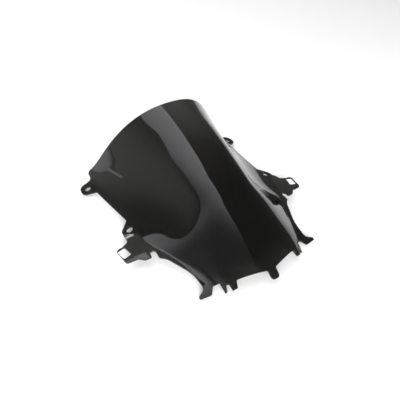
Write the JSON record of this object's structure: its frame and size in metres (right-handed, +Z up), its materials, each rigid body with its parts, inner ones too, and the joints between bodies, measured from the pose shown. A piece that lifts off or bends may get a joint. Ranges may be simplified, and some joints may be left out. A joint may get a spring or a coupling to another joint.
{
  "type": "windshield screen",
  "caption": "Domed smoke-tinted acrylic windscreen for a sport motorcycle, with side flanges, clip tabs, screw holes and front locating prongs.",
  "frame": {"origin": "on the sheet's outer face at the root of the nose tongue, on the centre plane", "axes": "+X forwards to the motorcycle's nose, +Y to the rider's left, +Z up; XZ is the centre plane"},
  "size_m": [0.3475, 0.3254, 0.1477],
  "materials": {
    "smoke_acrylic": "gloss",
    "decal_film": "satin"
  },
  "bodies": {
    "root": {"screen_shell": "smoke_acrylic", "blank_decal": "decal_film"}
  },
  "joints": []
}
